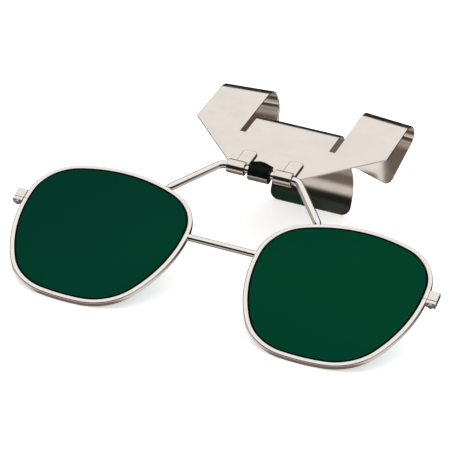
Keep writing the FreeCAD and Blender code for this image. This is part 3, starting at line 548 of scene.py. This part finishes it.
def tab_shadow_line(nodes, links):
    """1 along the painted shadow line round each knuckle's tab, on the plate beside the tab and on
    the tab's own edge.
    """
    place = nodes.new("ShaderNodeTexCoord")
    offset = nodes.new("ShaderNodeVectorMath")
    offset.operation = "SUBTRACT"
    links.new(place.outputs["Object"], offset.inputs[0])
    offset.inputs[1].default_value = AXLE
    split = nodes.new("ShaderNodeSeparateXYZ")
    links.new(offset.outputs["Vector"], split.inputs["Vector"])
    rise, run = math.sin(CLIP_TILT), math.cos(CLIP_TILT)
    up = maths(nodes, links, "MULTIPLY_ADD", split.outputs["Y"], run,
               maths(nodes, links, "MULTIPLY", split.outputs["Z"], rise))
    level = maths(nodes, links, "MULTIPLY_ADD", split.outputs["Y"], -rise,
                  maths(nodes, links, "MULTIPLY", split.outputs["Z"], run))
    along = maths(nodes, links, "ABSOLUTE", split.outputs["X"])
    past = []
    for value, middle, half in zip((along, up), TAB_MIDDLE, TAB_HALF):
        far = maths(nodes, links, "ABSOLUTE", maths(nodes, links, "SUBTRACT", value, middle))
        past.append(maths(nodes, links, "MAXIMUM",
                          maths(nodes, links, "SUBTRACT", far, half - TAB_ROUND), 0.0))
    squares = maths(nodes, links, "MULTIPLY_ADD", past[0], past[0],
                    maths(nodes, links, "MULTIPLY", past[1], past[1]))
    from_edge = maths(nodes, links, "SUBTRACT", maths(nodes, links, "SQRT", squares), TAB_ROUND)
    # The painted shadow is full on the tab's outline and fades out a little way off it.
    line = ranged(nodes, links, maths(nodes, links, "ABSOLUTE", from_edge), low=1.0, high=0.0,
                  start=SHADOW_LINE_FULL, end=SHADOW_LINE_END)
    off = maths(nodes, links, "ABSOLUTE", maths(nodes, links, "SUBTRACT", level, TAB_LEVEL))
    near = maths(nodes, links, "LESS_THAN", off, SHADOW_LINE_REACH)
    return maths(nodes, links, "MULTIPLY", line, near)


def sheet_nickel(metal):
    """Finish of the clip stamping: rolled sheet, plated bright, with a painted shadow line round
    its tabs.
    """
    return plated("Nickel plated sheet", metal.sheet, metal.sheet_roughness,
                  grain=(260.0, 5200.0, 5200.0), shadow_line=tab_shadow_line)


def wire_nickel(metal):
    """Finish of the rims and wires: drawn wire, plated bright."""
    return plated("Nickel plated wire", metal.wire, metal.wire_roughness,
                  grain=(900.0, 2600.0, 5200.0), clouds=0.04)


def block_nickel(metal):
    """Finish of the closing blocks: filed, then plated."""
    return plated("Nickel plated block", darker(metal.wire, 0.97), roughness=0.17,
                  grain=(5200.0, 700.0, 5200.0), clouds=0.07)


def screw_steel(metal):
    """Finish of the closing screws: turned steel with fine rings."""
    return plated("Turned screw steel", darker(metal.spring, 1.1), roughness=0.24,
                  grain=(7000.0, 900.0, 7000.0), clouds=0.12)


def strip_steel(metal):
    """Finish of the friction spring: plain strip with lines along its length."""
    return plated("Spring strip", metal.spring, roughness=0.22,
                  grain=(6500.0, 420.0, 420.0), clouds=0.10)


def black_mould():
    """Finish of the friction block: matt black with a fine moulded grain."""
    made, nodes, links, shader = start_finish("Black moulding")
    if nodes is None:
        return made
    grain = noise(nodes, links, stretched(nodes, links), scale=4200.0, detail=4.0, roughness=0.6)
    patch = noise(nodes, links, stretched(nodes, links), scale=500.0)
    links.new(blended(nodes, links, ranged(nodes, links, patch, 0.0, 1.0),
                      MOULD_BLACK, MOULD_GREY), shader.inputs["Base Color"])
    shader.inputs["Specular IOR Level"].default_value = 0.05
    links.new(ranged(nodes, links, grain, low=0.42, high=0.62), shader.inputs["Roughness"])
    bumped(nodes, links, grain, strength=0.35, distance=0.04 * MM, shader=shader)
    return made


def filter_glass(lenses):
    """Dark green welding glass, a touch lighter towards the right."""
    made, nodes, links, shader = start_finish("Green filter glass")
    if nodes is None:
        return made
    # The glass colour is made darker towards the left and lighter towards the right.
    dim, clear = ([channel * part for channel, part in zip(lenses.glass, shares)]
                  for shares in (GLASS_LEFT_TONE, GLASS_RIGHT_TONE))
    place = nodes.new("ShaderNodeTexCoord")
    split = nodes.new("ShaderNodeSeparateXYZ")
    links.new(place.outputs["Object"], split.inputs["Vector"])
    slow = noise(nodes, links, stretched(nodes, links), scale=18.0, detail=1.0)
    total = maths(nodes, links, "MULTIPLY_ADD", split.outputs["X"], GLASS_FADE, slow)
    side = ranged(nodes, links, total, 0.0, 1.0, start=0.2, end=0.8)
    links.new(blended(nodes, links, side, dim, clear), shader.inputs["Base Color"])
    seeds = noise(nodes, links, stretched(nodes, links), scale=900.0, detail=2.0)
    links.new(ranged(nodes, links, seeds, low=0.015, high=0.05), shader.inputs["Roughness"])
    shader.inputs["IOR"].default_value = 1.52
    shader.inputs["Specular IOR Level"].default_value = lenses.gloss
    return made


def ground_edge_with_painted_shade():
    """Finish of a lens's edge: ground matt, and painted near black as the shade beside the rim."""
    made, nodes, links, shader = start_finish("Ground glass edge with painted shade")
    if nodes is None:
        return made
    grain = noise(nodes, links, stretched(nodes, links), scale=3000.0, detail=4.0, roughness=0.6)
    links.new(blended(nodes, links, grain, GROUND_SHADE_BLACK, GROUND_SHADE_GREEN),
              shader.inputs["Base Color"])
    links.new(ranged(nodes, links, grain, low=0.5, high=0.7), shader.inputs["Roughness"])
    shader.inputs["Specular IOR Level"].default_value = 0.02
    return made


def pale_floor(stage):
    """Finish of the floor: plain, pale and even."""
    made, nodes, _, shader = start_finish("Pale floor")
    if nodes is None:
        return made
    shader.inputs["Base Color"].default_value = (*stage.floor, 1.0)
    shader.inputs["Roughness"].default_value = 0.9
    shader.inputs["Specular IOR Level"].default_value = 0.0
    shader.inputs["Emission Color"].default_value = (1.0, 1.0, 1.0, 1.0)
    shader.inputs["Emission Strength"].default_value = stage.glow
    return made


# ------------------------------------------------------------------ operators
class GOGGLES_OT_rims(bpy.types.Operator):
    """Sweep the two rims round their lenses, open at the closing slit"""
    bl_idname = "goggles.rims"
    bl_label = "Rims"

    def execute(self, context):
        scene = context.scene
        rim, metal = scene.goggle_rims, scene.goggle_metal
        base = lens_matrix(scene.goggle_wires)
        tree, names = sweep_tree("Rim section", True)
        ring = outline(rim.width / 2, RIM_STEP)
        # Start just above the slit on the temple side and end just below it.
        start = next(i for i in range(len(ring))
                     if ring[i][0] > 0 and ring[i - 1][1] < rim.slit_height <= ring[i][1])
        ring = ring[start:] + ring[:start]
        low, high = ring[-1], ring[0]

        def at(height):
            """The rim's centre line at a height between two outline points."""
            part = (height - low[1]) / (high[1] - low[1])
            return (low[0] + (high[0] - low[0]) * part, height)

        # An outline point right beside the slit would kink the wire, so it goes.
        gap = rim.slit_gap / 2
        if high[1] - rim.slit_height < gap * 2:
            ring = ring[1:]
        if rim.slit_height - low[1] < gap * 2:
            ring = ring[:-1]
        ring = [at(rim.slit_height + gap)] + ring + [at(rim.slit_height - gap)]
        for word, side in SIDES:
            points = [(x, y, 0.0) for x, y in ring]
            values = {names["width"]: rim.width, names["depth"]: rim.depth,
                      names["round"]: rim.edge_round, names["finish"]: wire_nickel(metal)}
            place = (base @ Matrix.Translation((side * rim.centre_distance / 2, 0, 0))
                     @ Matrix.Diagonal((side, 1, 1, 1)))
            piece = swept("rim_wire_" + word, points, [1.0] * len(points), tree, values,
                          place, side < 0)
            settle(piece, "lens_frame", ["rim_" + word])
        return {"FINISHED"}


class GOGGLES_OT_lenses(bpy.types.Operator):
    """Grind the two filter lenses with their chamfers and bevelled edges"""
    bl_idname = "goggles.lenses"
    bl_label = "Filter lenses"

    def execute(self, context):
        scene = context.scene
        lens, rim = scene.goggle_lenses, scene.goggle_rims
        base = lens_matrix(scene.goggle_wires)
        half, cut = lens.thickness / 2, lens.chamfer
        # The ridge that sits in the rim's groove: half its height, how far it
        # reaches past the outline, and the room between glass and rim.
        land, reach, play = 0.25 * MM, 0.54 * MM, 0.06 * MM
        # The chamfer's middle point stands proud of a straight cut.
        eased = (-play - cut * 0.25, half - cut * 0.3)
        front = [(-lens.edge, half), (-play - cut, half), eased, (-play, half - cut),
                 (-play, land), (reach, land)]
        steps = front + [(margin, -z) for margin, z in reversed(front)]
        finish, ground = filter_glass(lens), ground_edge_with_painted_shade()
        for word, side in SIDES:
            place = base @ Matrix.Translation((side * rim.centre_distance / 2, 0, 0))
            loops = [[(side * x, y, z) for x, y in outline(margin, LENS_STEP)]
                     for margin, z in steps]
            piece = loop_mesh("filter_lens_" + word, loops, place, side > 0)
            settle(piece, "lens_frame", ["lens_" + word], finish)
            # Every face but the two caps is ground, and painted near black as shade beside the
            # rim.
            piece.data.materials.append(ground)
            for face in piece.data.polygons[:(len(loops) - 1) * len(loops[0])]:
                face.material_index = 1
        return {"FINISHED"}


class GOGGLES_OT_wires(bpy.types.Operator):
    """Bend the hinge wire and lay the cross bar between the rims"""
    bl_idname = "goggles.wires"
    bl_label = "Hinge wire and cross bar"

    def execute(self, context):
        scene = context.scene
        wires, metal = scene.goggle_wires, scene.goggle_metal
        base = lens_matrix(wires)
        tree, names = sweep_tree("Wire section", False)
        corner = Vector((wires.corner_x, wires.axle_height))
        foot = Vector((wires.arm_end_x, wires.arm_end_y))
        slope = math.atan2(corner.y - foot.y, foot.x - corner.x)
        tangent = wires.bend_radius * math.tan(slope / 2)
        centre = Vector((corner.x - tangent, corner.y - wires.bend_radius))
        half = [Vector((0, corner.y)), Vector((centre.x, corner.y))]
        for k in range(1, BEND_STEPS + 1):
            angle = math.pi / 2 - slope * k / BEND_STEPS
            half.append(centre + wires.bend_radius * Vector((math.cos(angle), math.sin(angle))))
        along = (foot - half[-1]).normalized()
        sizes = [1.0] * len(half) + [size for _, size in ARM_END]
        half += [foot + along * past for past, _ in ARM_END]
        points = [(-p.x, p.y, 0) for p in reversed(half[1:])] + [(p.x, p.y, 0) for p in half]
        radii = list(reversed(sizes[1:])) + sizes
        values = {names["radius"]: wires.wire_radius, names["sides"]: WIRE_SIDES,
                  names["finish"]: wire_nickel(metal)}
        wire = swept("hinge_wire_bent", points, radii, tree, values, base)
        settle(wire, "lens_frame", ["hinge_wire"])
        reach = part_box("cross_bar")[1].x
        ends = [(reach + past, size) for past, size in BAR_END]
        line = [(-x, r) for x, r in reversed(ends)] + ends
        values = {names["radius"]: wires.bar_radius, names["sides"]: WIRE_SIDES,
                  names["finish"]: wire_nickel(metal)}
        bar = swept("cross_bar_straight", [(x, wires.bar_height, 0) for x, _ in line],
                    [r for _, r in line], tree, values, base)
        settle(bar, "lens_frame", ["cross_bar"])
        return {"FINISHED"}


class GOGGLES_OT_closers(bpy.types.Operator):
    """File the closing blocks and turn their screws"""
    bl_idname = "goggles.closers"
    bl_label = "Closing blocks and screws"

    def execute(self, context):
        metal = context.scene.goggle_metal
        for word, _ in SIDES:
            for level in ("upper", "lower"):
                node = f"{level}_block_{word}"
                piece = refined(node, f"closing_block_{level}_{word}", BLOCK_BREAK)
                settle(piece, "lens_frame", [node], block_nickel(metal))
            node = f"closing_screw_{word}"
            piece = refined(node, f"slotted_screw_{word}", SCREW_BREAK)
            settle(piece, "lens_frame", [node], screw_steel(metal))
        return {"FINISHED"}


class GOGGLES_OT_clip(bpy.types.Operator):
    """Finish the clip stamping with its edges tumbled smooth"""
    bl_idname = "goggles.clip"
    bl_label = "Clip stamping"

    def execute(self, context):
        metal = context.scene.goggle_metal
        piece = refined("clip_plate", "clip_stamping", SHEET_BREAK, segments=3)
        settle(piece, "clip", ["clip_plate"], sheet_nickel(metal))
        return {"FINISHED"}


class GOGGLES_OT_friction(bpy.types.Operator):
    """Mould the friction block and bend the spring that cradles it"""
    bl_idname = "goggles.friction"
    bl_label = "Friction block and spring"

    def execute(self, context):
        metal = context.scene.goggle_metal
        block = refined("friction_block", "friction_moulding", MOULD_BREAK, segments=3)
        settle(block, "clip", ["friction_block"], black_mould())
        strip = refined("friction_spring", "friction_strip", STRIP_BREAK)
        settle(strip, "clip", ["friction_spring"], strip_steel(metal))
        return {"FINISHED"}


class GOGGLES_OT_stage(bpy.types.Operator):
    """Set the pale floor, the soft light and the camera"""
    bl_idname = "goggles.stage"
    bl_label = "Stage"

    def execute(self, context):
        scene = context.scene
        stage, wires = scene.goggle_stage, scene.goggle_wires
        turns = [2 * math.pi * k / FLOOR_SIDES for k in range(FLOOR_SIDES)]
        edge = [(stage.radius * math.cos(turn), stage.radius * math.sin(turn), 0)
                for turn in turns]
        mesh = bpy.data.meshes.new("floor")
        mesh.from_pydata(edge, [], [tuple(range(len(edge)))])
        floor = new_object("floor", mesh)
        mesh.materials.append(pale_floor(stage))
        # The metal mirrors the tent's table in the world, not this floor.
        floor.visible_glossy = False
        self.light(scene, stage)
        self.camera(scene, wires)
        return {"FINISHED"}

    def light(self, scene, stage):
        """A white tent above a dark horizon, a table below and two side screens."""
        world = bpy.data.worlds.new("Light tent")
        scene.world = world
        world.use_nodes = True
        nodes, links = world.node_tree.nodes, world.node_tree.links
        place = nodes.new("ShaderNodeTexCoord")
        split = nodes.new("ShaderNodeSeparateXYZ")
        ramp = nodes.new("ShaderNodeValToRGB")
        dark = (0.02, 0.02, 0.02)
        tent, top = (stage.light,) * 3, (stage.overhead,) * 3
        # Elevation in degrees and the light that comes from there: the table
        # below, a dark band round the horizon, the tent and its crown.
        stops = [(-90, stage.under), (-60, stage.under), (-48, stage.table), (-33, stage.table),
                 (-23, dark), (29, dark), (34, tent), (74, tent), (78, top), (90, top)]
        elements = ramp.color_ramp.elements
        elements[0].position, elements[1].position = 0.0, 1.0
        places = [0.5 + 0.5 * math.sin(math.radians(elevation)) for elevation, _ in stops]
        for position in places[1:-1]:
            elements.new(position)
        for element, (_, level) in zip(elements, stops):
            element.color = (*(channel / stage.overhead for channel in level), 1.0)
        height = nodes.new("ShaderNodeMapRange")
        height.inputs["From Min"].default_value = -1.0
        links.new(place.outputs["Generated"], split.inputs["Vector"])
        links.new(split.outputs["Z"], height.inputs["Value"])
        links.new(height.outputs["Result"], ramp.inputs["Fac"])
        # Two soft screens, one on each side, fill the dark band there.
        beside = ranged(nodes, links, maths(nodes, links, "ABSOLUTE", split.outputs["X"]),
                        low=0.0, high=stage.screens / stage.overhead,
                        start=SCREEN_START, end=SCREEN_FULL)
        both = nodes.new("ShaderNodeMix")
        both.data_type = "RGBA"
        both.blend_type = "LIGHTEN"
        both.inputs[MIX_FACTOR].default_value = 1.0
        links.new(ramp.outputs["Color"], both.inputs[MIX_FIRST])
        links.new(beside, both.inputs[MIX_SECOND])
        sky = nodes["Background"]
        links.new(both.outputs[MIX_RESULT], sky.inputs["Color"])
        sky.inputs["Strength"].default_value = stage.overhead
        # The camera sees a plain pale backdrop; the part mirrors the tent.
        backdrop = nodes.new("ShaderNodeBackground")
        backdrop.inputs["Color"].default_value = (1.0, 1.0, 1.0, 1.0)
        ray = nodes.new("ShaderNodeLightPath")
        mix = nodes.new("ShaderNodeMixShader")
        links.new(ray.outputs["Is Camera Ray"], mix.inputs["Fac"])
        links.new(sky.outputs["Background"], mix.inputs[SHADER_FIRST])
        links.new(backdrop.outputs["Background"], mix.inputs[SHADER_SECOND])
        links.new(mix.outputs["Shader"], nodes["World Output"].inputs["Surface"])

    def camera(self, scene, wires):
        """Long lens from the front right, a little above the part."""
        data = bpy.data.cameras.new("camera")
        data.lens = CAMERA_LENS
        data.sensor_width = CAMERA_SENSOR
        data.clip_start = 0.01
        data.clip_end = 20.0
        camera = new_object("camera", data)
        base = lens_matrix(wires)
        forward = base.to_3x3() @ Vector(CAMERA_AHEAD)
        up = base.to_3x3() @ Vector(CAMERA_UP)
        right = forward.cross(up).normalized()
        up = right.cross(forward).normalized()
        turn = Matrix((right, up, -forward.normalized())).transposed()
        place = base @ Vector(CAMERA_PLACE)
        camera.matrix_world = Matrix.Translation(place) @ turn.to_4x4()
        scene.camera = camera
        scene.view_settings.view_transform = "Standard"


class GOGGLES_PT_panel(bpy.types.Panel):
    """Everything the goggles are made of"""
    bl_idname = "GOGGLES_PT_panel"
    bl_label = "Flip-up goggles"
    bl_space_type = "VIEW_3D"
    bl_region_type = "UI"
    bl_category = "Goggles"

    def draw(self, context):
        for group in SETTINGS:
            settings = getattr(context.scene, group)
            box = self.layout.box()
            for name in settings.__annotations__:
                box.prop(settings, name)
        for operator in OPERATORS:
            self.layout.operator(operator.bl_idname)


SETTINGS = {
    "goggle_rims": GoggleRimSettings,
    "goggle_lenses": GoggleLensSettings,
    "goggle_wires": GoggleWireSettings,
    "goggle_metal": GoggleMetalSettings,
    "goggle_stage": GoggleStageSettings,
}
OPERATORS = (GOGGLES_OT_rims, GOGGLES_OT_lenses, GOGGLES_OT_wires, GOGGLES_OT_closers,
             GOGGLES_OT_clip, GOGGLES_OT_friction, GOGGLES_OT_stage)


def register():
    """Register the settings, the operators and the panel."""
    for name, group in SETTINGS.items():
        bpy.utils.register_class(group)
        setattr(bpy.types.Scene, name, bpy.props.PointerProperty(type=group))
    for operator in OPERATORS:
        bpy.utils.register_class(operator)
    bpy.utils.register_class(GOGGLES_PT_panel)


def unregister():
    """Take back what register added."""
    bpy.utils.unregister_class(GOGGLES_PT_panel)
    for operator in reversed(OPERATORS):
        bpy.utils.unregister_class(operator)
    for name, group in reversed(SETTINGS.items()):
        delattr(bpy.types.Scene, name)
        bpy.utils.unregister_class(group)


def main():
    """Make every piece."""
    register()
    bpy.ops.goggles.rims()
    bpy.ops.goggles.lenses()
    bpy.ops.goggles.wires()
    bpy.ops.goggles.closers()
    bpy.ops.goggles.clip()
    bpy.ops.goggles.friction()
    bpy.ops.goggles.stage()


if __name__ == "__main__":
    main()
